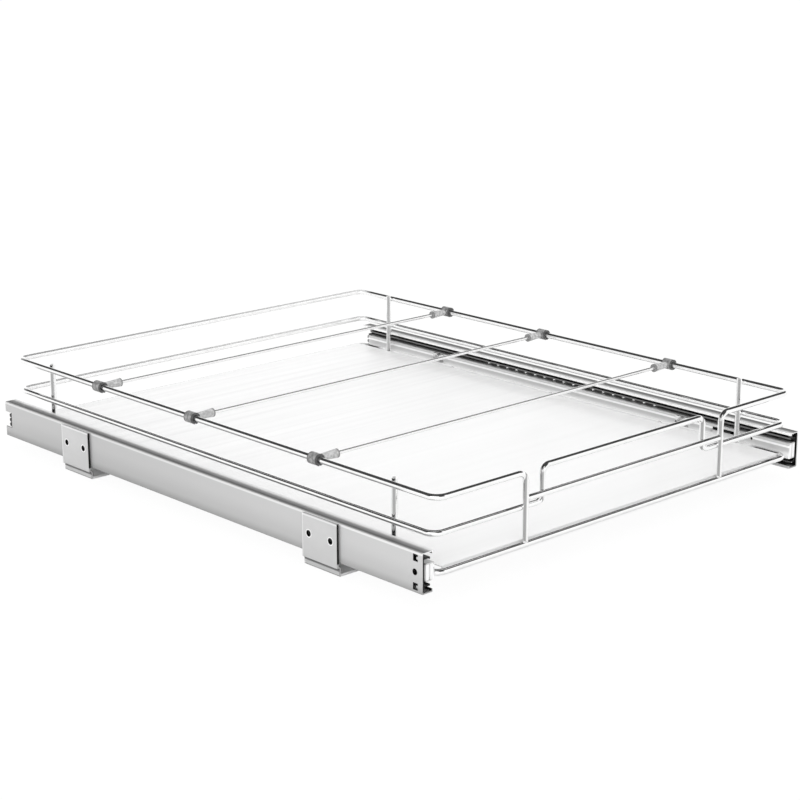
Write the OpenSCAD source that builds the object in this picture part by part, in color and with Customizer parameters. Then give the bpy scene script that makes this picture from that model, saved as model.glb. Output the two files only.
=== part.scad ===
// Pull-out basket for a kitchen base cabinet, closed, in millimetres.
// X runs across the cabinet, the basket pulls out towards -Y, and +Z is up.
// The origin is on the cabinet floor, under the middle of the slides.

/* [Slides] */
// Length of each slide
slide_length = 550; // [500:10:600]
// Height of the slide profile
slide_height = 32; // [31:0.5:38]
// Thickness of one closed slide, from the cabinet side to the basket
slide_depth = 12.5; // [12.3:0.1:14]
// Width of the whole basket over the backs of both slides
slide_span = 450; // [400:10:560]
// Thickness of the slide steel
slide_steel = 1; // [0.9:0.05:1.2]
// Length of the plastic plug in the front end of a basket member
plug_length = 8; // [6:0.5:12]
// Length by which the travel falls short of the slide length
travel_short = 10; // [10:5:60]
// Distance that the moving members stop short of the rear end
rear_stop = 10; // [9:0.5:14]

/* [Balls and cages] */
// Diameter of the balls between the cabinet member and the middle member
outer_ball = 3.6; // [3.2:0.1:4]
// Diameter of the balls between the middle member and the basket member
inner_ball = 2.8; // [2.6:0.1:3]
// Gap between a ball and each of its tracks
ball_gap = 0.15; // [0.1:0.01:0.2]
// Distance from one ball to the next
ball_pitch = 12.5; // [8:0.5:13]
// Number of balls in a row
ball_count = 18; // [8:1:18]
// Thickness of the cage strip
cage_sheet = 0.6; // [0.4:0.05:0.7]
// Distance from the end ball to the end of its cage
cage_end = 6; // [4:0.5:8]
// Room between the front of a member and the cages when fully out
cage_margin = 12; // [8:1:14]

/* [Brackets] */
// Height of the slides above the cabinet floor
slide_lift = 11; // [9:0.5:20]
// Thickness of the bracket steel
bracket_steel = 2; // [1.5:0.1:2.5]
// Width of a bracket along the slide
bracket_width = 40; // [36:1:60]
// Length of the foot, measured inwards from the back of the slide
foot_length = 36; // [30:1:45]
// Distance from the front of the slide to the middle of the front bracket
front_bracket_in = 110; // [80:5:140]
// Distance from the rear of the slide to the middle of the rear bracket
rear_bracket_in = 114; // [80:2:140]
// Distance between the two screw holes of a bracket
bracket_hole_pitch = 25; // [20:0.5:30]
// Diameter of the screw holes in the bracket and the slide behind it
wall_hole = 4.8; // [3.5:0.1:5.5]
// Diameter of the screw hole in a foot
foot_hole = 5; // [4:0.1:6]

/* [Basket] */
// Diameter of the basket wire
wire = 5; // [4:0.1:5.5]
// Height of the top rail above the underside of the slides
top_rail_height = 69.3; // [62:0.1:120]
// Height of the middle rail above the underside of the slides
middle_rail_height = 41.3; // [38:0.1:44]
// Height of the straight front wire above the middle rail
cross_wire_rise = 7; // [6:0.1:10]
// Distance of the bottom frame below the screws that hold it to the slides
bottom_wire_drop = 7.55; // [5.6:0.05:9]
// Distance from the front of the slides to the front wires
front_inset = 1; // [0.5:0.5:8]
// Distance from the rear of the slides to the rear of the top rail
top_rear_inset = 1; // [1:0.5:8]
// Distance from the rear of the slides to the rear of the middle rail
middle_rear_inset = 3.5; // [2:0.5:10]
// Distance from the rear of the slides to the rear of the bottom frame
bottom_rear_inset = 3; // [2:0.5:8]
// Bend radius of the corners of the rails
corner_bend = 9; // [6:0.5:24]
// Bend radius where the top rail turns down into the front posts
post_bend = 8; // [6:0.5:11]
// Bend radius of the raised guard in the middle of the front
guard_bend = 6.5; // [5:0.5:8]
// Distance between the two front posts
front_gap = 233.6; // [180:0.2:280]
// Distance from a front post to the guard leg beside it
guard_in = 21; // [18:0.5:40]
// Distance from each end of the slides to the side posts
side_post_in = 50; // [44:1:60]
// Length of side post above the top rail
post_tip = 3.5; // [2.6:0.1:6]
// Depth that the middle rail is pressed into the front posts and the front cross wire
weld_press = 2.5; // [0.5:0.1:2.8]

/* [Floor panel] */
// Thickness of the floor sheet
panel_sheet = 0.8; // [0.6:0.1:1.2]
// Depth of the lips folded down at the front and rear of the floor sheet
panel_lip = 5; // [3:0.5:6]
// Number of support wires under the floor sheet
support_count = 3; // [2:1:5]

/* [Dividers] */
// Diameter of a divider rod
rod = 3; // [2.5:0.1:4]
// Outer diameter of the clip ring
clip_ring = 9.6; // [8.6:0.1:11]
// Width of the clip ring along the rail
clip_width = 10; // [6:0.5:12]
// Length of the clip, from the middle of the rail to the end of the sleeve
clip_reach = 21.5; // [18:0.5:32]
// Diameter of the clip sleeve where the rod enters
clip_sleeve = 7.4; // [6.4:0.1:8.4]
// Diameter of the clip sleeve at the ring
clip_neck = 5.2; // [4.8:0.1:6.2]
// Width of the slit under the ring, where the clip is sprung over the rail
clip_slit = 1.4; // [1:0.1:4]
// Distance from the front of the slides to the front divider
front_divider_in = 133; // [70:1:180]
// Distance of the middle divider behind the middle of the basket
middle_divider_back = 13; // [0:1:60]
// Distance from the rear of the slides to the rear divider
rear_divider_in = 131; // [70:1:180]

/* [Fasteners and small parts] */
// Thread diameter of the screws that hold the basket to its slides
frame_screw = 4; // [3:0.1:4.2]
// Distance from each end of the slides to the fixing tabs
tab_in = 117; // [105:1:150]
// Length of a fixing tab
tab_length = 14; // [12:1:24]
// Thickness of a fixing tab
tab_steel = 1.5; // [1:0.1:2]
// Length of the release lever in front of its pin
lever_length = 34; // [28:1:40]
// Diameter of the lever pin
lever_pin = 2; // [1.6:0.1:2.4]
// Distance from the front of the slide to the lever pin
lever_pin_in = 84; // [70:1:95]

/* [Fits] */
// Clearance between parts that touch lightly
seat_gap = 0.02; // [0.01:0.01:0.1]
// Clearance between parts that slide past one another
slide_gap = 0.25; // [0.2:0.01:0.3]
// Clearance between the clip ring and the rail
ring_gap = 0.3; // [0.2:0.05:0.4]
// Clearance between a lever and its pin
pin_gap = 0.05; // [0.03:0.01:0.1]

/* [Hidden] */
$fn = 48;

// Slide, seen along its length: depth runs inwards from the cabinet side, height upwards
half_span = slide_span / 2;
half_length = slide_length / 2;
slide_middle = slide_height / 2;
slide_axis_z = slide_lift + slide_middle;
cover = 40;                                  // cutters reach this far past what they cut

// Heights of the rows above the middle of the slide, from the outside inwards
outer_track = slide_middle - slide_steel;
outer_ball_up = outer_track - ball_gap - outer_ball / 2;
middle_top = outer_ball_up - outer_ball / 2 - ball_gap;
middle_track = middle_top - slide_steel;
inner_ball_up = middle_track - ball_gap - inner_ball / 2;
inner_top = inner_ball_up - inner_ball / 2 - ball_gap;
inner_track = inner_top - slide_steel;
screw_z = slide_axis_z + inner_track - frame_screw / 2 - slide_gap;

// Depths of the webs, flanges and balls
outer_cage_in = slide_steel + slide_gap;
middle_web_in = outer_cage_in + cage_sheet + slide_gap;
inner_cage_in = middle_web_in + slide_steel + slide_gap;
inner_flange_in = inner_cage_in + cage_sheet + slide_gap;
inner_web_in = slide_depth - slide_steel;
outer_mouth_back = 1.5;
outer_mouth_in = slide_depth - outer_mouth_back;
middle_mouth_back = 3.3;
middle_mouth_in = slide_depth - middle_mouth_back;
outer_ball_in = 6.3;
inner_ball_in = 7;
outer_lip = 1.4;
middle_lip = 0.5;
cage_rim = 0.5;

// Members along Y
front_end = -half_length;
member_inset = 1;
member_front = front_end + member_inset;
travel = slide_length - travel_short;
member_rear = half_length - rear_stop;
cage_length = (ball_count - 1) * ball_pitch + 2 * cage_end;
cage_front = member_front + cage_margin + travel / 4;
first_ball = cage_front + cage_end;

// Brackets
front_bracket_y = front_end + front_bracket_in;
rear_bracket_y = half_length - rear_bracket_in;
step_drop = 4.4;                             // below the slide, where the bracket steps in
step_bend = 1.4;
edge_break = 1;
bracket_short = 0.9;                         // from the top of the bracket to that of the slide
bracket_top = slide_lift + slide_height - bracket_short;
foot_hole_in = 24;

// Basket wires
frame_x = half_span - slide_depth - wire / 2 - seat_gap;
post_x = frame_x - wire - seat_gap;
top_z = slide_lift + top_rail_height;
middle_z = slide_lift + middle_rail_height;
cross_z = middle_z + cross_wire_rise;
bottom_z = screw_z - bottom_wire_drop;
front_y = front_end + front_inset;
behind_y = front_y + wire - weld_press;
top_rear_y = half_length - top_rear_inset;
middle_rear_y = half_length - middle_rear_inset;
bottom_rear_y = half_length - bottom_rear_inset;
rail_straight = frame_x - corner_bend;
side_post_y = half_length - side_post_in;
front_divider_y = front_end + front_divider_in;
rear_divider_y = half_length - rear_divider_in;
front_post_x = front_gap / 2;
guard_x = front_post_x - guard_in;
guard_straight = guard_x - guard_bend;

// Floor panel
panel_room = 0.5;
panel_x = post_x - wire / 2 - panel_room;
panel_front_y = front_y + wire / 2 + panel_room;
panel_rear_y = bottom_rear_y - wire / 2 - panel_room;
panel_z = bottom_z + wire / 2 + seat_gap;

// Fixing tabs and levers
tab_reach = half_length - tab_in;
tab_z = bottom_z + wire / 2 + seat_gap;
tab_top = slide_axis_z + inner_top;
screw_head = frame_screw * 1.5;
screw_end = 1.5;                             // length of screw behind the basket member's web
pin_y = front_end + lever_pin_in;
lever_depth = 2.6;
lever_in = inner_web_in - slide_gap - lever_depth;
lever_up = 0.8;                              // above the middle of the slide
lever_z = slide_axis_z + lever_up;
lever_half = 1.7;
pad_in = 20;                                 // from the pin to the front of the thumb pad
pad_front = pin_y - pad_in;
pad_length = 14;
pad_rise = 0.6;

// Puts the left-hand shape on the left, or its mirror image on the right
module on_side(right) {
    mirror([right ? 1 : 0, 0, 0]) translate([-half_span, 0, 0]) children();
}

// Draws a slide section from y0 to y1, with the middle of the slide at height 0
module along_slide(y0, y1) {
    translate([0, y1, slide_axis_z]) rotate([90, 0, 0]) linear_extrude(y1 - y0) children();
}

// Channel section with its web at one depth and its mouth at another, and a lip on each flange
module channel_section(web_in, mouth_in, half_height, wall, lip, bend) {
    bend_in = web_in + bend;
    difference() {
        union() {
            translate([bend_in, -half_height]) square([mouth_in - bend_in, 2 * half_height]);
            translate([web_in, bend - half_height]) square([mouth_in - web_in, 2 * (half_height - bend)]);
            for (up = [-1, 1]) translate([bend_in, up * (half_height - bend)]) circle(r = bend);
        }
        translate([web_in + wall, wall - half_height])
            square([mouth_in - web_in - 2 * wall, 2 * (half_height - wall)]);
        translate([web_in + wall, wall + lip - half_height])
            square([cover, 2 * (half_height - wall - lip)]);
    }
}

module box(from, to) {
    translate(from) cube(to - from);
}

module rod_x(x0, x1, y, z, d) {
    translate([x0, y, z]) rotate([0, 90, 0]) cylinder(h = x1 - x0, d = d);
}

module rod_y(x, y0, y1, z, d) {
    translate([x, y0, z]) rotate([-90, 0, 0]) cylinder(h = y1 - y0, d = d);
}

module rod_z(x, y, z0, z1, d) {
    translate([x, y, z0]) cylinder(h = z1 - z0, d = d);
}

// A quarter bend about a centre, from the given angle anticlockwise, lying flat
module flat_bend(x, y, z, radius, angle, d) {
    translate([x, y, z]) rotate([0, 0, angle])
        rotate_extrude(angle = 90) translate([radius, 0]) circle(d = d);
}

// The same bend standing up, in the X and Z directions
module upright_bend(x, y, z, radius, angle, d) {
    translate([x, y, z]) rotate([90, 0, 0]) rotate([0, 0, angle])
        rotate_extrude(angle = 90) translate([radius, 0]) circle(d = d);
}

module bracket_holes(bracket_y, depth) {
    for (side = [-1, 1])
        rod_x(-cover, depth, bracket_y + side * bracket_hole_pitch / 2, slide_axis_z, wall_hole);
}

// Hole punched through the web of a slide member, which ends at the given depth
module web_hole(depth, y, z, d) {
    rod_x(depth - slide_steel - slide_gap / 2, depth + slide_gap / 2, y, z, d);
}

module web_window(depth, y, z, length, height) {
    box([depth - slide_steel - slide_gap / 2, y, z - height / 2],
        [depth + slide_gap / 2, y + length, z + height / 2]);
}

// Cabinet member: a channel with a lip along each flange, punched at both ends
module cabinet_member(right) {
    window_in = 4.2;
    window_y = front_end + window_in;
    window_down = 4;
    window_up = outer_track - window_down;
    window_length = 5;
    window_height = 5.4;
    bite_length = 1.5;
    bite_height = 2;
    front_hole = 5;
    front_hole_in = 7.3;
    front_hole_y = front_end + front_hole_in;
    notch_gap = 0.4;
    notch_y = member_rear + notch_gap;
    notch_height = 14;
    color("lightgray") on_side(right) difference() {
        along_slide(front_end, half_length)
            channel_section(0, outer_mouth_in, slide_middle, slide_steel, outer_lip, slide_steel);
        bracket_holes(front_bracket_y, slide_steel + slide_gap);
        bracket_holes(rear_bracket_y, slide_steel + slide_gap);
        web_hole(slide_steel, front_hole_y, slide_axis_z, front_hole);
        for (up = [-window_up, window_up]) difference() {
            web_window(slide_steel, window_y, slide_axis_z + up, window_length, window_height);
            web_window(slide_steel, window_y - seat_gap, slide_axis_z + up, bite_length, bite_height);
        }
        web_window(slide_steel, notch_y, slide_axis_z, half_length, notch_height);
    }
}

// Bracket: a bent plate behind the slide that steps in under it and turns into a foot
module bracket(right, bracket_y) {
    step_z = slide_lift - step_drop;
    back = -bracket_steel - seat_gap;
    color("silver") on_side(right) difference() {
        translate([0, bracket_y + bracket_width / 2, 0]) rotate([90, 0, 0]) linear_extrude(bracket_width)
            polygon([[back, bracket_top], [-seat_gap, bracket_top], [-seat_gap, step_z + step_bend],
                     [bracket_steel, step_z], [bracket_steel, bracket_steel], [foot_length, bracket_steel],
                     [foot_length, 0], [edge_break, 0], [0, edge_break], [0, step_z - edge_break],
                     [back, step_z - edge_break + step_bend]]);
        bracket_holes(bracket_y, bracket_steel);
        rod_z(foot_hole_in, bracket_y, -seat_gap, bracket_steel + seat_gap, foot_hole);
    }
}

// Rubber bumper in the rear end of the cabinet member, with three lobes that show in its notch
module rear_bumper(right) {
    bumper_front = member_rear + seat_gap;
    bumper_wall = 2.6;
    bumper_up = 8;
    lobe = 3.8;
    lobe_y = bumper_front + bumper_wall;
    lobe_pitch = 4.2;
    lobe_in = 0.4;
    bumper_in = outer_mouth_in - slide_steel - slide_gap;
    color("dimgray") on_side(right) {
        box([slide_steel + seat_gap, bumper_front, slide_axis_z - bumper_up],
            [bumper_in, lobe_y, slide_axis_z + bumper_up]);
        for (up = [-lobe_pitch, 0, lobe_pitch])
            rod_x(lobe_in, bumper_in, lobe_y, slide_axis_z + up, lobe);
    }
}

// Middle member: carries the outer balls on its back and the inner balls inside
module middle_member(right) {
    relief = 5;
    relief_in = 14;
    color("gainsboro") on_side(right) difference() {
        along_slide(member_front, member_rear)
            channel_section(middle_web_in, middle_mouth_in, middle_top,
                            slide_steel, middle_lip, slide_steel);
        web_hole(middle_web_in + slide_steel, member_front + relief_in, slide_axis_z, relief);
        web_hole(middle_web_in + slide_steel, member_rear - relief_in, slide_axis_z, relief);
    }
}

// Basket member: the narrow channel that the basket is screwed to, open to the cabinet side
module basket_member(right) {
    slot_length = 24;
    slot_height = 3;
    slot_z = lever_z + lever_half + 1.5 * pad_rise;
    slot_margin = 5;
    slot_y = pad_front - slot_margin;
    small_hole = 2.6;
    small_hole_in = 40;
    small_hole_y = front_end + small_hole_in;
    small_hole_z = slide_axis_z + inner_track / 2;
    color("gainsboro") on_side(right) difference() {
        along_slide(front_end, member_rear) translate([slide_depth, 0]) mirror([1, 0])
            channel_section(0, slide_depth - inner_flange_in, inner_top, slide_steel, 0, slide_steel);
        for (y = [-tab_reach, tab_reach]) web_hole(slide_depth, y, screw_z, frame_screw + 2 * seat_gap);
        web_hole(slide_depth, pin_y, lever_z, lever_pin + 2 * seat_gap);
        web_hole(slide_depth, small_hole_y, small_hole_z, small_hole);
        web_window(slide_depth, slot_y, slot_z, slot_length, slot_height);
    }
}

// Plastic plug pressed into the front end of the basket member, with a groove down its face
module end_plug(right) {
    plug_up = inner_track - seat_gap;
    groove_depth = 1.2;
    groove_in = inner_flange_in + (inner_web_in - inner_flange_in) * 0.4;
    groove_width = 1.4;
    color("white") on_side(right) difference() {
        box([inner_flange_in, front_end, slide_axis_z - plug_up],
            [inner_web_in - seat_gap, front_end + plug_length, slide_axis_z + plug_up]);
        box([groove_in, front_end - seat_gap, slide_axis_z - slide_middle],
            [groove_in + groove_width, front_end + groove_depth, slide_axis_z + slide_middle]);
    }
}

// Cage: a thin channel that keeps the balls of one pair of rows apart
module cage(right, web_in, ball_in, row_up, ball) {
    color("darkgray") on_side(right) difference() {
        along_slide(cage_front, cage_front + cage_length)
            channel_section(web_in, ball_in + ball / 2 + cage_rim, row_up + cage_sheet / 2,
                            cage_sheet, 0, cage_sheet);
        for (i = [0 : ball_count - 1])
            rod_z(ball_in, first_ball + i * ball_pitch, slide_lift, slide_lift + slide_height,
                  ball + 2 * ball_gap);
    }
}

module ball_rows(right, ball_in, row_up, ball) {
    color("white") on_side(right) for (i = [0 : ball_count - 1], up = [-row_up, row_up])
        translate([ball_in, first_ball + i * ball_pitch, slide_axis_z + up]) sphere(d = ball);
}

module outer_cage(right) {
    cage(right, outer_cage_in, outer_ball_in, outer_ball_up, outer_ball);
}

module inner_cage(right) {
    cage(right, inner_cage_in, inner_ball_in, inner_ball_up, inner_ball);
}

// Release lever: a small arm in the basket member, with a thumb pad at the slot
module release_lever(right) {
    arm_top = lever_z + lever_half - pad_rise;
    color("black") on_side(right) difference() {
        union() {
            box([lever_in, pin_y - lever_length, lever_z - lever_half],
                [lever_in + lever_depth, pin_y, arm_top]);
            box([lever_in, pad_front, lever_z - lever_half],
                [lever_in + lever_depth, pad_front + pad_length, lever_z + lever_half + pad_rise]);
            rod_x(lever_in, lever_in + lever_depth, pin_y, lever_z, 2 * lever_half);
        }
        rod_x(lever_in - slide_gap, lever_in + lever_depth + slide_gap, pin_y, lever_z,
              lever_pin + 2 * pin_gap);
    }
}

module lever_pin_rivet(right) {
    pin_head = lever_pin * 1.6;
    pin_head_depth = 0.8;
    color("silver") on_side(right) {
        rod_x(lever_in - slide_gap, slide_depth, pin_y, lever_z, lever_pin);
        rod_x(lever_in - slide_gap - pin_head_depth, lever_in - slide_gap, pin_y, lever_z, pin_head);
    }
}

// Top rail: one wire, open at the front, whose ends turn down into the front posts
module top_rail() {
    color("whitesmoke") rod_x(-rail_straight, rail_straight, top_rear_y, top_z, wire);
    color("whitesmoke") for (side = [0, 1]) mirror([side, 0, 0]) {
        flat_bend(rail_straight, top_rear_y - corner_bend, top_z, corner_bend, 0, wire);
        rod_y(frame_x, front_y + corner_bend, top_rear_y - corner_bend, top_z, wire);
        flat_bend(rail_straight, front_y + corner_bend, top_z, corner_bend, -90, wire);
        rod_x(front_post_x + post_bend, rail_straight, front_y, top_z, wire);
        upright_bend(front_post_x + post_bend, front_y, top_z - post_bend, post_bend, 90, wire);
        rod_z(front_post_x, front_y, bottom_z + wire / 2 + seat_gap, top_z - post_bend, wire);
    }
}

// Middle rail: one closed wire that passes behind the posts and rises as a guard in front,
// and is pressed flat where it is welded to the posts and the cross wire
module middle_rail() {
    pressed = wire + 2 * seat_gap;
    color("whitesmoke") difference() {
        union() {
            rod_x(-rail_straight, rail_straight, middle_rear_y, middle_z, wire);
            rod_x(-guard_straight, guard_straight, behind_y, top_z, wire);
            for (side = [0, 1]) mirror([side, 0, 0]) {
                flat_bend(rail_straight, middle_rear_y - corner_bend, middle_z, corner_bend, 0, wire);
                rod_y(frame_x, behind_y + corner_bend, middle_rear_y - corner_bend, middle_z, wire);
                flat_bend(rail_straight, behind_y + corner_bend, middle_z, corner_bend, -90, wire);
                rod_x(guard_x + guard_bend, rail_straight, behind_y, middle_z, wire);
                upright_bend(guard_x + guard_bend, behind_y, middle_z + guard_bend, guard_bend, 180, wire);
                rod_z(guard_x, behind_y, middle_z + guard_bend, top_z - guard_bend, wire);
                upright_bend(guard_straight, behind_y, top_z - guard_bend, guard_bend, 0, wire);
            }
        }
        for (x = [-front_post_x, front_post_x]) rod_z(x, front_y, bottom_z, top_z, pressed);
        rod_x(-front_post_x, front_post_x, front_y, cross_z, pressed);
    }
}

// Bottom frame: the closed wire that rests against the basket members
module bottom_frame() {
    color("whitesmoke") rod_x(-rail_straight, rail_straight, bottom_rear_y, bottom_z, wire);
    color("whitesmoke") rod_x(-rail_straight, rail_straight, front_y, bottom_z, wire);
    color("whitesmoke") for (side = [0, 1]) mirror([side, 0, 0]) {
        flat_bend(rail_straight, bottom_rear_y - corner_bend, bottom_z, corner_bend, 0, wire);
        rod_y(frame_x, front_y + corner_bend, bottom_rear_y - corner_bend, bottom_z, wire);
        flat_bend(rail_straight, front_y + corner_bend, bottom_z, corner_bend, -90, wire);
    }
}

// Straight wire between the front posts, in front of the guard
module front_cross_wire() {
    reach = front_post_x - wire / 2 - seat_gap;
    color("whitesmoke") rod_x(-reach, reach, front_y, cross_z, wire);
}

// Side posts stand inside the rails, from the bottom frame to just above the top rail
module side_post(side, end) {
    color("whitesmoke")
        rod_z(side * post_x, end * side_post_y, bottom_z - wire / 2, top_z + post_tip, wire);
}

// Wires across the bottom frame that carry the floor sheet
module support_wires() {
    reach = frame_x - wire / 2 - seat_gap;
    color("whitesmoke") for (i = [1 : support_count]) {
        y = panel_front_y + (panel_rear_y - panel_front_y) * i / (support_count + 1);
        rod_x(-reach, reach, y, bottom_z, wire);
    }
}

// Floor sheet on the support wires, with a short lip folded down at the front and rear
module floor_panel() {
    panel_top = panel_z + panel_sheet;
    color("whitesmoke") {
        box([-panel_x, panel_front_y, panel_z], [panel_x, panel_rear_y, panel_top]);
        for (lip_y = [panel_front_y, panel_rear_y - panel_sheet])
            box([-rail_straight, lip_y, panel_z - panel_lip],
                [rail_straight, lip_y + panel_sheet, panel_top]);
    }
}

// Fixing tabs stand on the bottom frame, flat against the basket member
module fixing_tabs(right) {
    color("silver") on_side(right) difference() {
        for (y = [-tab_reach, tab_reach])
            box([slide_depth + seat_gap, y - tab_length / 2, tab_z],
                [slide_depth + seat_gap + tab_steel, y + tab_length / 2, tab_top]);
        for (y = [-tab_reach, tab_reach])
            rod_x(slide_depth, slide_depth + tab_steel + slide_gap, y, screw_z, frame_screw + 2 * seat_gap);
    }
}

// Screws with a cross recess, through the tabs into the basket member
module frame_screws(right) {
    head_in = slide_depth + tab_steel + 2 * seat_gap;
    head_out = head_in + frame_screw / 2;
    recess_in = head_in + frame_screw / 4;
    recess_reach = frame_screw * 0.45;
    recess_half = frame_screw * 0.15;
    color("silver") on_side(right) for (y = [-tab_reach, tab_reach]) difference() {
        union() {
            rod_x(inner_web_in - screw_end, head_in, y, screw_z, frame_screw);
            rod_x(head_in, head_out, y, screw_z, screw_head);
        }
        box([recess_in, y - recess_reach, screw_z - recess_half],
            [head_out + seat_gap, y + recess_reach, screw_z + recess_half]);
        box([recess_in, y - recess_half, screw_z - recess_reach],
            [head_out + seat_gap, y + recess_half, screw_z + recess_reach]);
    }
}

// Divider rod, with its two ends pressed into the clip sleeves
module divider_rod(y) {
    color("whitesmoke") rod_x(clip_ring / 2 - frame_x, frame_x - clip_ring / 2, y, top_z, rod);
}

// Divider clip: a split ring that snaps over the top rail, and a sleeve for the rod
module divider_clip(y, side) {
    bore = wire + 2 * ring_gap;
    color("gray") mirror([side > 0 ? 1 : 0, 0, 0]) translate([-frame_x, y, top_z]) difference() {
        union() {
            rod_y(0, -clip_width / 2, clip_width / 2, 0, clip_ring);
            rotate([0, 90, 0]) cylinder(h = clip_reach, d1 = clip_neck, d2 = clip_sleeve);
        }
        rod_y(0, -cover, cover, 0, bore);
        box([-clip_slit / 2, -cover, -clip_ring], [clip_slit / 2, cover, 0]);
        rod_x(clip_ring / 2 - seat_gap, clip_reach + seat_gap, 0, 0, rod + 2 * seat_gap);
    }
}

cabinet_member(false);  // left_cabinet_member
cabinet_member(true);  // right_cabinet_member
bracket(false, front_bracket_y);  // left_front_bracket
bracket(false, rear_bracket_y);  // left_rear_bracket
bracket(true, front_bracket_y);  // right_front_bracket
bracket(true, rear_bracket_y);  // right_rear_bracket
rear_bumper(false);  // left_rear_bumper
rear_bumper(true);  // right_rear_bumper
middle_member(false);  // left_middle_member
middle_member(true);  // right_middle_member
outer_cage(false);  // left_outer_cage
outer_cage(true);  // right_outer_cage
ball_rows(false, outer_ball_in, outer_ball_up, outer_ball);  // left_outer_balls
ball_rows(true, outer_ball_in, outer_ball_up, outer_ball);  // right_outer_balls
inner_cage(false);  // left_inner_cage
inner_cage(true);  // right_inner_cage
ball_rows(false, inner_ball_in, inner_ball_up, inner_ball);  // left_inner_balls
ball_rows(true, inner_ball_in, inner_ball_up, inner_ball);  // right_inner_balls
basket_member(false);  // left_basket_member
basket_member(true);  // right_basket_member
end_plug(false);  // left_end_plug
end_plug(true);  // right_end_plug
release_lever(false);  // left_release_lever
release_lever(true);  // right_release_lever
lever_pin_rivet(false);  // left_lever_pin
lever_pin_rivet(true);  // right_lever_pin
top_rail();
middle_rail();
bottom_frame();
front_cross_wire();
side_post(-1, -1);  // left_front_post
side_post(-1, 1);  // left_rear_post
side_post(1, -1);  // right_front_post
side_post(1, 1);  // right_rear_post
support_wires();
floor_panel();
fixing_tabs(false);  // left_fixing_tabs
fixing_tabs(true);  // right_fixing_tabs
frame_screws(false);  // left_frame_screws
frame_screws(true);  // right_frame_screws
divider_rod(front_divider_y);  // front_divider_rod
divider_clip(front_divider_y, -1);  // front_divider_left_clip
divider_clip(front_divider_y, 1);  // front_divider_right_clip
divider_rod(middle_divider_back);  // middle_divider_rod
divider_clip(middle_divider_back, -1);  // middle_divider_left_clip
divider_clip(middle_divider_back, 1);  // middle_divider_right_clip
divider_rod(rear_divider_y);  // rear_divider_rod
divider_clip(rear_divider_y, -1);  // rear_divider_left_clip
divider_clip(rear_divider_y, 1);  // rear_divider_right_clip
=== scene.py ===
import math

import bmesh
import bpy
from mathutils import Matrix, Vector


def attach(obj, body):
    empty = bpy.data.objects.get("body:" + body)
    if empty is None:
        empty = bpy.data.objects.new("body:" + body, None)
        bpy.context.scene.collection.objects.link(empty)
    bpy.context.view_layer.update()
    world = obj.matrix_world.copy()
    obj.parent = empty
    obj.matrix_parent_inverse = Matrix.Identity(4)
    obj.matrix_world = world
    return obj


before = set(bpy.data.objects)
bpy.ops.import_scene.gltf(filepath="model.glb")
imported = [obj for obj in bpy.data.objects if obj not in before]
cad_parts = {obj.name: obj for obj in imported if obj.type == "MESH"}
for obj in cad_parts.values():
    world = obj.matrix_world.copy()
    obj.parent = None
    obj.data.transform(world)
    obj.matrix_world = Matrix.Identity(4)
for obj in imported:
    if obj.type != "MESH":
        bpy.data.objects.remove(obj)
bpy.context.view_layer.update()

# Pull-out basket for a kitchen cabinet, in metres. The basket pulls out towards -Y, and +Z is up.
# A pair of numbers for rise() is where a change begins and ends. Three numbers for near() are the middle of
# a band, its half width and its fade.

# Basket: heights and places of the middles of its wires
WIRE = 0.005
TOP_Z = 0.0803
MIDDLE_Z = 0.0523
CROSS_Z = 0.0593
BOTTOM_Z = 0.0232
RAIL_X = 0.20998
SIDE_POST_X = 0.20496
SIDE_POST_Y = 0.225
FRONT_Y = -0.274
BEHIND_Y = -0.2715
FRONT_POST_X = 0.1168
GUARD_X = 0.0958
SUPPORTS_Y = (-0.136, -0.001, 0.134)
DIVIDERS_Y = (-0.142, 0.013, 0.144)

# Slides and brackets
SLIDE_BACK_X = 0.225
SLIDE_STEEL = 0.001
SLIDE_MIDDLE_Z = 0.027
SLIDE_HALF = 0.016
SLIDE_FRONT_Y = -0.275
BRACKETS_Y = (-0.165, 0.161)
BRACKET_HALF = 0.02
BRACKET_HOLES = (-0.0125, 0.0125)


class Level:
    """A number, colour or vector on a surface. Arithmetic on a number adds Math nodes."""

    def __init__(self, finish, socket):
        self.finish = finish
        self.socket = socket

    def math(self, operation, first, second=0.0):
        return self.finish.node("ShaderNodeMath", {"operation": operation}, {0: first, 1: second})

    def __add__(self, other):
        return self.math("ADD", self, other)

    __radd__ = __add__

    def __sub__(self, other):
        return self.math("SUBTRACT", self, other)

    def __rsub__(self, other):
        return self.math("SUBTRACT", other, self)

    def __mul__(self, other):
        return self.math("MULTIPLY", self, other)

    __rmul__ = __mul__

    def __abs__(self):
        return self.math("ABSOLUTE", self)

    def sign(self):
        return self.math("SIGN", self)

    def rise(self, low, high):
        """0 below low, 1 above high and smooth between them."""
        return self.finish.node(
            "ShaderNodeMapRange", {"interpolation_type": "SMOOTHSTEP"},
            {"Value": self, "From Min": low, "From Max": high})

    def near(self, centre, half, edge):
        """1 within half of centre, fading to 0 over edge."""
        return 1.0 - abs(self - centre).rise(half, half + edge)


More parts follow.
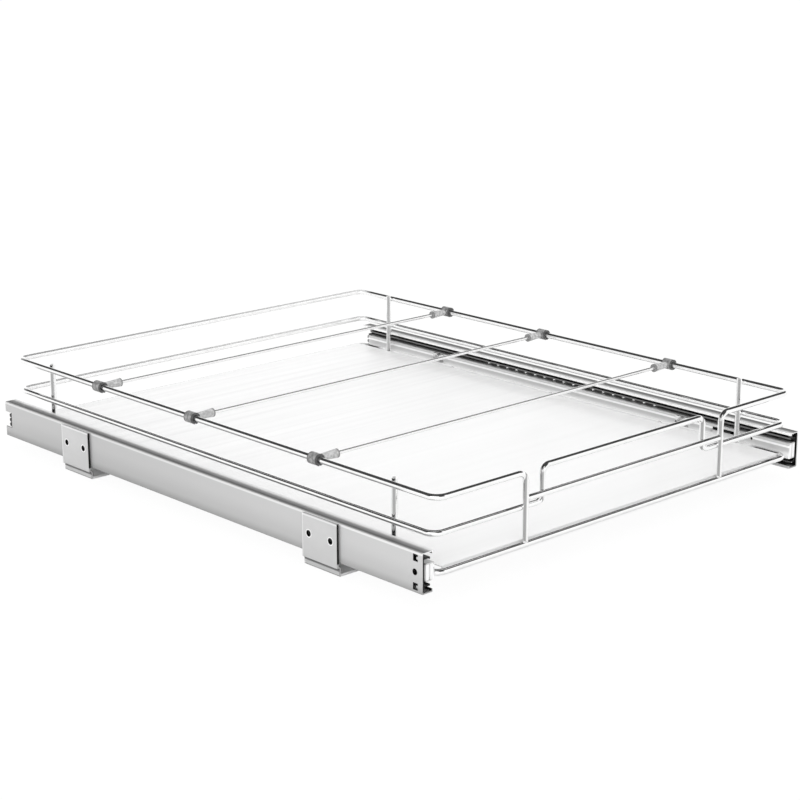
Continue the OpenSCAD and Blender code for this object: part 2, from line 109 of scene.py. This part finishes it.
class Finish:
    """The look of one kind of piece: nodes that feed the Principled shader."""

    def __init__(self, name, metallic, plain=None):
        self.material = bpy.data.materials.new(name)
        self.material.use_nodes = True
        self.tree = self.material.node_tree
        self.shader = self.tree.nodes["Principled BSDF"]
        self.shader.inputs["Metallic"].default_value = metallic
        for socket, value in (plain or {}).items():
            self.shader.inputs[socket].default_value = value

    def node(self, kind, settings=None, sockets=None, output=0):
        made = self.tree.nodes.new(kind)
        for name, choice in (settings or {}).items():
            setattr(made, name, choice)
        for name, value in (sockets or {}).items():
            if isinstance(value, Level):
                self.tree.links.new(value.socket, made.inputs[name])
            else:
                made.inputs[name].default_value = value
        return Level(self, made.outputs[output])

    def place(self):
        return self.node("ShaderNodeTexCoord", output="Object")

    def axes(self):
        """The three coordinates of a point, in metres."""
        apart = self.node("ShaderNodeSeparateXYZ", sockets={0: self.place()})
        outputs = apart.socket.node.outputs
        return [Level(self, outputs[i]) for i in range(3)]

    def noise(self, scale, detail=2.0, roughness=0.5):
        """Noise with its own scale along X, Y and Z, in waves per metre."""
        spread = self.node("ShaderNodeMapping", sockets={"Vector": self.place(), "Scale": scale})
        return self.node("ShaderNodeTexNoise", sockets={
            "Vector": spread, "Scale": 1.0, "Detail": detail, "Roughness": roughness})

    def between(self, mask, first, second):
        """The first colour where mask is 0 and the second where it is 1."""
        return self.node("ShaderNodeMix", {"data_type": "RGBA"}, {0: mask, 6: first, 7: second}, output=2)

    def feed(self, socket, level):
        self.tree.links.new(level.socket, self.shader.inputs[socket])

    def relief(self, height, depth, edge=0.0):
        """Bumps of the given depth in metres, on edges that look rounded by the given radius."""
        sockets = {"Height": height, "Distance": depth, "Strength": 1.0}
        if edge:
            sockets["Normal"] = self.node("ShaderNodeBevel", {"samples": 6}, {"Radius": edge})
        self.feed("Normal", self.node("ShaderNodeBump", sockets=sockets))

    def on(self, *names):
        for name in names:
            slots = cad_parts[name].data.materials
            slots.clear()
            slots.append(self.material)


def grey(level):
    return (level, level, level, 1.0)


def both(name):
    return "left_" + name, "right_" + name


# Finishes of the wires and rods

WIRE_SKIN = WIRE * 0.56
WIRE_FADE = WIRE * 0.04
SIDE_WIRES_END_Y = (0.235, 0.01)
REAR_WIRES_Y = (0.255, 0.268)
REAR_SPAN_X = (-0.22, 0.2)


def chrome_plate(name, shade, grain, metallic=1.0):
    """Bright plating over drawn wire, with a faint ripple and a little haze."""
    plate = Finish(name, metallic)
    haze = plate.noise((60, 60, 60), detail=4)
    ripple = plate.noise((grain, grain, grain), detail=2)
    ripple_depth = 0.00001
    plate.colour = plate.between(haze.rise(0.35, 0.7), grey(shade), grey(shade * 0.95))
    plate.feed("Base Color", plate.colour)
    plate.feed("Roughness", 0.06 + 0.08 * haze)
    plate.relief(ripple, ripple_depth)
    return plate


def painted_reflection_line(plate, x, y, wire_x, wire_y):
    """A painted reflection line along the front left of upright wires at (+-x, y)."""
    across_x, across_y = -0.73, 0.68
    line_place, line_half, line_fade = WIRE * 0.1, WIRE * 0.14, WIRE * 0.2
    out = abs(x) - wire_x
    back = y - wire_y
    close = out.near(0.0, WIRE_SKIN, WIRE_FADE) * back.near(0.0, WIRE_SKIN, WIRE_FADE)
    across = across_y * back + across_x * x.sign() * out
    return close * across.near(line_place, line_half, line_fade)


def upright_lines(plate, shade):
    """The painted reflection lines of the posts and the guard legs."""
    x, y, z = plate.axes()
    line = painted_reflection_line(plate, x, y, FRONT_POST_X, FRONT_Y)
    line = line + painted_reflection_line(plate, x, y, GUARD_X, BEHIND_Y)
    for end in (-1, 1):
        line = line + painted_reflection_line(plate, x, y, SIDE_POST_X, end * SIDE_POST_Y)
    upright = line * z.rise(BOTTOM_Z + WIRE * 0.5, BOTTOM_Z + WIRE * 0.7)
    # Painted reflection: a grey line down the front left of each post and guard leg.
    plate.colour = plate.between(upright, plate.colour, grey(shade))
    plate.feed("Base Color", plate.colour)


def rail_lines(plate, shade):
    """A painted reflection line low on the outside of the rails, and duller plating beside the sheet and at
    the rear.
    """
    x, y, z = plate.axes()
    tilt_out, tilt_down = 0.38, 0.92
    line_place, line_half, line_fade = WIRE * 0.34, WIRE * 0.06, WIRE * 0.1
    out = abs(x) - RAIL_X
    on_side = out.near(0.0, WIRE_SKIN, WIRE_FADE) * y.near(0.0, *SIDE_WIRES_END_Y)
    line = 0.0
    for rail_z in (TOP_Z, MIDDLE_Z):
        up = z - rail_z
        outer = (tilt_down * out + tilt_out * up).rise(0.0, WIRE * 0.06)
        low = (tilt_out * out - tilt_down * up).near(line_place, line_half, line_fade)
        line = line + outer * low * up.near(0.0, WIRE_SKIN, WIRE_FADE)
    # Painted reflection: a grey line low on the outer side of the side rails.
    plate.colour = plate.between(line * on_side, plate.colour, grey(shade))
    plate.feed("Base Color", plate.colour)
    beside_sheet, rear_left, rear_right = 0.9, 0.3, 0.6
    dull = beside_sheet * on_side * z.near(BOTTOM_Z, WIRE_SKIN, WIRE_FADE)
    rear = rear_left + (rear_right - rear_left) * x.rise(*REAR_SPAN_X)
    plate.feed("Metallic", 1.0 - (dull + y.rise(*REAR_WIRES_Y) * rear))


wire_plate = chrome_plate("chrome_wire", 0.97, 700)
# Painted reflection lines on the uprights and on the side rails.
upright_lines(wire_plate, 0.4)
rail_lines(wire_plate, 0.42)
wire_plate.on("top_rail", "middle_rail", "bottom_frame", "front_cross_wire", "support_wires",
              *both("front_post"), *both("rear_post"))

rod_plate = chrome_plate("chrome_rod", 0.93, 900, metallic=0.8)
rod_plate.on("front_divider_rod", "middle_divider_rod", "rear_divider_rod")

weld_plate = chrome_plate("chrome_weld", 0.85, 1600)
tab_plate = chrome_plate("chrome_tab", 0.84, 900)
tab_plate.on(*both("fixing_tabs"))


# Finishes of the slides and brackets

def rolled_zinc(name, shade, roughness, along=8, across=900, edge=0.0004, metallic=1.0):
    """Zinc-plated strip with a fine grain along the slide and soft clouds in the plating."""
    zinc = Finish(name, metallic)
    grain = zinc.noise((across, along, across), detail=3)
    cloud = zinc.noise((35, 14, 35), detail=4, roughness=0.6)
    grain_depth = 0.000012
    zinc.colour = zinc.between(cloud.rise(0.3, 0.7), grey(shade), grey(shade * 0.93))
    zinc.feed("Base Color", zinc.colour)
    zinc.feed("Roughness", roughness - 0.06 + 0.07 * grain + 0.06 * cloud)
    zinc.relief(grain, grain_depth, edge)
    return zinc


def darker_inside(zinc, shade, outer, inner):
    """Painted shade in the ball tracks and the front end of a channel, and in the holes of its web.

    The inside lies between two distances from the middle of the basket.
    """
    x, y, z = zinc.axes()
    hair = 0.0001
    track_start, track_fade = 0.008, 0.002
    front_end = (-0.262, -0.255)
    inside = abs(x).near((outer + inner) / 2, (outer - inner) / 2, hair)
    inside = inside * z.near(SLIDE_MIDDLE_Z, SLIDE_HALF - SLIDE_STEEL - hair, 2 * hair)
    track = 1.0 - z.near(SLIDE_MIDDLE_Z, track_start, track_fade)
    front = 1.0 - y.rise(*front_end)
    unshaded = (1.0 - track) * (1.0 - front)
    punched = abs(x).rise(outer - SLIDE_STEEL + hair, outer - SLIDE_STEEL + 2 * hair)
    # Painted shade: the inside of the channel is darkened where it lies in shadow.
    painted_inner_shade = inside * (1.0 - unshaded * (1.0 - punched)) * y.near(0.0, -SLIDE_FRONT_Y - 3 * hair, hair)
    zinc.feed("Base Color", zinc.between(painted_inner_shade, zinc.colour, grey(shade)))


def cabinet_member_shades(zinc):
    """Painted highlights along the back edge, the top bend and the lip, a painted dark reflection on the
    flanges, painted shade on the lower web, and a web darker towards the rear.
    """
    x, y, z = zinc.axes()
    depth = SLIDE_BACK_X - abs(x)
    back_edge_highlight, painted_reflection_band, lip_rise = (0.0, 0.0021), (0.0028, 0.0058), (0.0058, 0.0102)
    lip, low_web, high_web = (0.0102, 0.0106), (0.011, 0.019), (0.018, 0.034)
    top_bend_highlight, flange_top = (0.0420, 0.0006, 0.001), (0.0425, 0.0429)
    front_to_rear = (-0.3, 0.15)
    # Painted shade darkens the lower web, with a painted highlight at the top bend.
    web = 0.4 + 0.16 * z.rise(*low_web) + 0.06 * z.rise(*high_web) + 0.22 * z.near(*top_bend_highlight)
    # The web is darker towards the rear, and the lip carries a painted highlight.
    web = web * (1.0 - 0.13 * y.rise(*front_to_rear)) + 0.35 * depth.rise(*lip)
    # Painted dark reflection on the flanges, lighter towards the lip, with a painted highlight along the
    # back edge.
    flange = 0.125 + 0.14 * depth.rise(*painted_reflection_band) + 0.68 * depth.rise(*lip_rise)
    flange = flange + 0.5 * (1.0 - depth.rise(*back_edge_highlight))
    zinc.colour = zinc.between(z.rise(*flange_top), web, flange)
    darker_inside(zinc, 0.01, SLIDE_BACK_X - 0.0001, 0.2141)


def middle_member_shades(zinc):
    """Painted shade: a darker rim at the mouth, and dark patches where the windows and holes of the cabinet
    member look in.
    """
    x, y, z = zinc.axes()
    hole, hole_edge = 0.003, 0.0034
    windows = (-0.2655, -0.265)
    mouth = (0.0045, 0.006)
    depth = SLIDE_BACK_X - abs(x)
    seen = 1.0 - y.rise(*windows)
    for middle in BRACKETS_Y:
        for pitch in BRACKET_HOLES:
            aside = y - (middle + pitch)
            up = z - SLIDE_MIDDLE_Z
            seen = seen + 1.0 - (aside * aside + up * up).rise(hole ** 2, hole_edge ** 2)
    # Painted shade where the windows and holes look in, and on the rim of the mouth.
    zinc.colour = zinc.between(seen, zinc.colour, grey(0.04))
    zinc.colour = zinc.between(depth.rise(*mouth), zinc.colour, grey(0.2))
    darker_inside(zinc, 0.03, 0.2226, 0.2159)


def basket_member_shades(zinc):
    """A whiter face beside the basket, with painted shade darkening it near its top under a painted
    highlight along the top edge.
    """
    x, _, z = zinc.axes()
    face_depth, painted_shade_near_top, painted_reflection_band = (0.0085, 0.0105), (0.0235, 0.0285), (0.0309, 0.0005, 0.0008)
    face = (SLIDE_BACK_X - abs(x)).rise(*face_depth)
    # Painted shade near the top of the face, and a painted highlight along its top edge.
    white = zinc.between(z.rise(*painted_shade_near_top), grey(0.95), grey(0.6))
    white = zinc.between(z.near(*painted_reflection_band), white, grey(1.0))
    zinc.feed("Base Color", zinc.between(face, zinc.colour, white))
    zinc.feed("Metallic", 0.7 - 0.6 * face)


def bracket_shades(zinc):
    """Painted shade on the cut edge in front, the bends and the screw holes, painted highlights on the rims
    and around the holes, and a foot painted lighter as if lit.
    """
    x, y, z = zinc.axes()
    plate_depth, foot_depth, foot_top = (0.0004, 0.0006), (0.0015, 0.0022), (0.0021, 0.0026)
    step_bend, foot_bend = (0.0055, 0.0008, 0.001), (0.0009, 0.0015)
    top_rim_highlight, front_cut_end = (0.0412, 0.0005, 0.0004), (0.0100, 0.0106)
    hole, hole_edge, wall, wall_band = 0.0025, 0.0026, 0.0031, 0.0000012
    rear_rim, rear_rim_fade, cut_half = 0.0005, 0.0003, 0.00004
    depth = SLIDE_BACK_X - abs(x)
    plate = 1.0 - depth.rise(*plate_depth)
    cut = 0.0
    rim = 0.0
    holes = 0.0
    hole_rim_highlights = 0.0
    for middle in BRACKETS_Y:
        along = y - middle
        cut = cut + along.near(-BRACKET_HALF, cut_half, cut_half)
        rim = rim + along.near(BRACKET_HALF - rear_rim, rear_rim, rear_rim_fade)
        for pitch in BRACKET_HOLES:
            aside = along - pitch
            up = z - SLIDE_MIDDLE_Z
            apart = aside * aside + up * up
            holes = holes + 1.0 - apart.rise(hole ** 2, hole_edge ** 2)
            hole_rim_highlights = hole_rim_highlights + apart.near(wall ** 2, wall_band, wall_band)
    # Painted shade in the bends, on the front cut edge and in the screw holes.
    bends = 0.7 * z.near(*step_bend) + 0.6 * (1.0 - z.rise(*foot_bend))
    dark = cut * z.rise(*front_cut_end) + holes + plate * bends
    # The foot is painted lighter as if lit, and the rear rim, top rim and hole edges carry painted
    # highlights.
    foot = (1.0 - z.rise(*foot_top)) * depth.rise(*foot_depth)
    light = 0.4 * rim * plate + hole_rim_highlights + 0.5 * z.near(*top_rim_highlight)
    zinc.feed("Metallic", 0.6 - 0.3 * foot)
    base = zinc.between(light, zinc.colour, grey(0.97))
    base = zinc.between(foot, base, grey(0.84))
    zinc.feed("Base Color", zinc.between(dark, base, grey(0.01)))


cabinet_zinc = rolled_zinc("zinc_cabinet_member", 0.74, 0.42, metallic=0.6)
cabinet_member_shades(cabinet_zinc)
cabinet_zinc.on(*both("cabinet_member"))

middle_zinc = rolled_zinc("zinc_middle_member", 0.66, 0.38)
middle_member_shades(middle_zinc)
middle_zinc.on(*both("middle_member"))

basket_zinc = rolled_zinc("zinc_basket_member", 0.66, 0.36)
basket_member_shades(basket_zinc)
basket_zinc.on(*both("basket_member"))

bracket_zinc = rolled_zinc("zinc_bracket", 0.63, 0.44, along=500, across=40, edge=0.0006)
bracket_shades(bracket_zinc)
bracket_zinc.on(*both("front_bracket"), *both("rear_bracket"))

# The ball cages are painted dark for the shade inside the ball tracks.
cage_strip = rolled_zinc("cage_strip_painted_dark", 0.1, 0.35)
cage_strip.on(*both("outer_cage"), *both("inner_cage"))


def painted_dark_glowing_balls():
    """Steel balls painted dark for the dark track they reflect, and a painted glint on the inner rows: a
    bright band that glows.
    """
    # The bright band glows as a painted glint, though the balls are no lamp.
    steel = Finish("polished_ball", 0.4, {"Emission Strength": 0.8})
    glowing_band = (0.00905, 0.00115, 0.0002)
    smear = steel.noise((500, 500, 500), detail=3)
    shine = steel.between(smear, grey(0.95), grey(0.8))
    glint_mask = abs(steel.axes()[2] - SLIDE_MIDDLE_Z).near(*glowing_band)
    # Painted reflection: outside the band the balls are dark for the dark track around them.
    steel.feed("Base Color", steel.between(glint_mask, grey(0.04), shine))
    steel.feed("Emission Color", steel.between(glint_mask, grey(0.0), grey(1.0)))
    steel.feed("Roughness", 0.05 + 0.1 * smear)
    return steel


def turned_zinc():
    """Zinc-plated screws and pins."""
    zinc = Finish("zinc_fastener", metallic=1.0)
    grain_depth, edge = 0.00001, 0.0002
    grain = zinc.noise((800, 800, 800), detail=3)
    zinc.feed("Base Color", zinc.between(grain, grey(0.7), grey(0.5)))
    zinc.feed("Roughness", 0.25 + 0.2 * grain)
    zinc.relief(grain, grain_depth, edge)
    return zinc


painted_dark_glowing_balls().on(*both("outer_balls"), *both("inner_balls"))
turned_zinc().on(*both("frame_screws"), *both("lever_pin"))


# Floor sheet

def brushed_sheet():
    """Pale steel sheet, brushed across the basket, with darker streaks that grow stronger towards the rear.
    """
    steel = Finish("brushed_floor_sheet", 0.15, {"Specular IOR Level": 0.25})
    brush_depth, edge = 0.000006, 0.0003
    darker_rear = (-0.15, 0.2)
    brush = steel.noise((6, 1400, 6), detail=4, roughness=0.7)
    streak = steel.noise((2.2, 120, 2), detail=3, roughness=0.6)
    rear_streaks = streak.rise(0.3, 0.75) * (0.25 + 0.75 * steel.axes()[1].rise(*darker_rear))
    steel.feed("Base Color", steel.between(rear_streaks, grey(0.98), grey(0.9)))
    steel.feed("Roughness", 0.24 + 0.1 * brush + 0.06 * streak)
    steel.relief(brush, brush_depth, edge)
    return steel


brushed_sheet().on("floor_panel")


# Moulded pieces

def moulding(name, shade, roughness, grain, depth):
    """Moulded plastic or rubber with a fine skin."""
    mould = Finish(name, metallic=0.0)
    edge = 0.0003
    skin = mould.noise((grain, grain, grain), detail=3)
    patch = mould.noise((90, 90, 90), detail=3)
    mould.colour = mould.between(patch, grey(shade * 0.9), grey(shade * 1.1))
    mould.feed("Base Color", mould.colour)
    mould.feed("Roughness", roughness - 0.06 + 0.12 * skin)
    mould.relief(skin, depth, edge)
    return mould


def clip_shades(mould):
    """A dull ring, and a lighter sleeve with a dark rim at its open end."""
    x, y, _ = mould.axes()
    ring_half, ring_side = 0.0039, 0.0006
    sleeve_start, sleeve_end = (0.0045, 0.0062), (0.0196, 0.0208)
    reach = RAIL_X - abs(x)
    spots = mould.noise((420, 420, 420), detail=2).rise(0.35, 0.65)
    side = 1.0
    for middle in DIVIDERS_Y:
        side = side * (1.0 - (y - middle).near(0.0, ring_half, ring_side))
    ring = mould.between(side, 0.16 + 0.15 * spots, grey(0.08))
    sleeve = mould.between(reach.rise(*sleeve_start), ring, 0.4 + 0.2 * spots)
    mould.feed("Base Color", mould.between(reach.rise(*sleeve_end), sleeve, grey(0.22)))


clip_plastic = moulding("grey_clip_plastic", 0.32, 0.3, 1500, 0.00002)
clip_shades(clip_plastic)
clip_plastic.on(*(f"{place}_divider_{side}_clip" for place in ("front", "middle", "rear")
                  for side in ("left", "right")))
moulding("black_lever_plastic", 0.02, 0.45, 1500, 0.00002).on(*both("release_lever"))
moulding("black_bumper_rubber", 0.018, 0.6, 900, 0.00004).on(*both("rear_bumper"))
moulding("white_plug_plastic", 0.86, 0.4, 1500, 0.00002).on(*both("end_plug"))


# Welds where the wires cross

def add_piece(name, mesh, finish, body):
    """Turns a finished bmesh into a piece that rides on a body."""
    data = bpy.data.meshes.new(name)
    mesh.to_mesh(data)
    mesh.free()
    data.shade_smooth()
    data.materials.append(finish.material)
    piece = bpy.data.objects.new(name, data)
    bpy.context.scene.collection.objects.link(piece)
    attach(piece, body)
    return piece


def weld_bead(mesh, centre, half_sizes):
    """One lens of weld metal in the crease between two wires."""
    shape = Matrix.Translation(centre) @ Matrix.Diagonal((*half_sizes, 1.0))
    bmesh.ops.create_icosphere(mesh, subdivisions=3, radius=1.0, matrix=shape)


def wire_welds():
    """Thin beads where two wires cross side by side, and rounder ones where a wire ends on another."""
    mesh = bmesh.new()
    thin, wide = 0.0009, 0.0019
    thick, round_half = 0.0012, 0.0027
    beside, in_line = (thin, wide, wide), (wide, thin, wide)
    end_across, end_below = (thick, round_half, round_half), (round_half, round_half, thick)
    seam_x = (RAIL_X + SIDE_POST_X) / 2
    seam_y = (FRONT_Y + BEHIND_Y) / 2
    for side in (-1, 1):
        for z in (TOP_Z, MIDDLE_Z, BOTTOM_Z):
            for y in (-SIDE_POST_Y, SIDE_POST_Y):
                weld_bead(mesh, (side * seam_x, y, z), beside)
        for y in SUPPORTS_Y:
            weld_bead(mesh, (side * (RAIL_X - WIRE / 2), y, BOTTOM_Z), end_across)
        weld_bead(mesh, (side * FRONT_POST_X, seam_y, MIDDLE_Z), in_line)
        weld_bead(mesh, (side * GUARD_X, seam_y, CROSS_Z), in_line)
        weld_bead(mesh, (side * (FRONT_POST_X - WIRE / 2), FRONT_Y, CROSS_Z), end_across)
        weld_bead(mesh, (side * FRONT_POST_X, FRONT_Y, BOTTOM_Z + WIRE / 2), end_below)
    return add_piece("wire_welds", mesh, weld_plate, "basket")


wire_welds()


# Studio: white floor and surroundings, with a dark cloth overhead for the metal to reflect

FLOOR_HALF = 30.0
FLOOR_GLOW = 1.02
FLOOR_GLOW_SHARE = 0.93
WORLD_STRENGTH = 1.05
CLOTH_TONE = 0.05
CLOTH_HEIGHT = (0.39, 0.42)
CLOTH_GAP_RIGHT = (0.3, 0.45)
CLOTH_GAP_FRONT = (-0.56, -0.42)
WINDOW_STRENGTH = 0.9
WINDOW_SPREAD = 70
WINDOW_TOWARDS = (0.8, 0.5, -0.33)
PHOTO_LENS = 88.07
PHOTO_SENSOR = 36.0
PHOTO_PLACE = (-1.13461, -1.22594, 0.52468)
PHOTO_TOWARDS = (0.6574, 0.7038, -0.2693)
FAR_END = 100.0


def turned_to(direction):
    """The rotation of a lamp or camera that looks along a direction."""
    return Vector(direction).to_track_quat("-Z", "Y").to_euler()


def studio_floor():
    """White floor that looks evenly lit to the camera and keeps a hint of the object's shadow."""
    mesh = bmesh.new()
    bmesh.ops.create_grid(mesh, x_segments=1, y_segments=1, size=FLOOR_HALF)
    data = bpy.data.meshes.new("studio_floor")
    mesh.to_mesh(data)
    mesh.free()
    floor = bpy.data.objects.new("studio_floor", data)
    bpy.context.scene.collection.objects.link(floor)
    paint = Finish("white_floor", 0.0, {
        "Roughness": 0.9, "Base Color": grey(0.9), "Specular IOR Level": 0.0})
    glow = paint.node("ShaderNodeEmission", sockets={"Color": grey(1.0), "Strength": FLOOR_GLOW})
    seen = paint.node("ShaderNodeLightPath", output="Is Camera Ray")
    shown = paint.node("ShaderNodeMixShader", sockets={
        0: FLOOR_GLOW_SHARE * seen, 1: Level(paint, paint.shader.outputs[0]), 2: glow})
    surface = paint.tree.nodes["Material Output"].inputs["Surface"]
    paint.tree.links.new(shown.socket, surface)
    data.materials.append(paint.material)


class Surroundings(Finish):
    """The world as nodes, made with the same calls as a finish."""

    def __init__(self):
        world = bpy.data.worlds.new("studio")
        bpy.context.scene.world = world
        world.use_nodes = True
        self.tree = world.node_tree
        self.background = self.tree.nodes["Background"]


def studio_light():
    """White light from all around. Only reflections see the cloth, which has a gap at the front right."""
    studio = Surroundings()
    direction = studio.node("ShaderNodeTexCoord", output="Generated")
    apart = studio.node("ShaderNodeSeparateXYZ", sockets={0: direction})
    right, back, height = [Level(studio, apart.socket.node.outputs[i]) for i in range(3)]
    gap = right.rise(*CLOTH_GAP_RIGHT) * (1.0 - back.rise(*CLOTH_GAP_FRONT))
    cloth = height.rise(*CLOTH_HEIGHT) * (1.0 - gap)
    glossy = studio.node("ShaderNodeLightPath", output="Is Glossy Ray")
    tone = studio.between(cloth * glossy, grey(1.0), grey(CLOTH_TONE))
    studio.tree.links.new(tone.socket, studio.background.inputs["Color"])
    studio.background.inputs["Strength"].default_value = WORLD_STRENGTH


def window_light():
    """Soft light from the front left."""
    data = bpy.data.lights.new("window", "SUN")
    data.energy = WINDOW_STRENGTH
    data.angle = math.radians(WINDOW_SPREAD)
    window = bpy.data.objects.new("window", data)
    window.rotation_euler = turned_to(WINDOW_TOWARDS)
    bpy.context.scene.collection.objects.link(window)


def photo_camera():
    data = bpy.data.cameras.new("photo_camera")
    data.lens = PHOTO_LENS
    data.sensor_width = PHOTO_SENSOR
    data.clip_end = FAR_END
    camera = bpy.data.objects.new("photo_camera", data)
    camera.location = PHOTO_PLACE
    camera.rotation_euler = turned_to(PHOTO_TOWARDS)
    bpy.context.scene.collection.objects.link(camera)
    bpy.context.scene.camera = camera


studio_floor()
studio_light()
window_light()
photo_camera()
bpy.context.scene.view_settings.view_transform = "Standard"
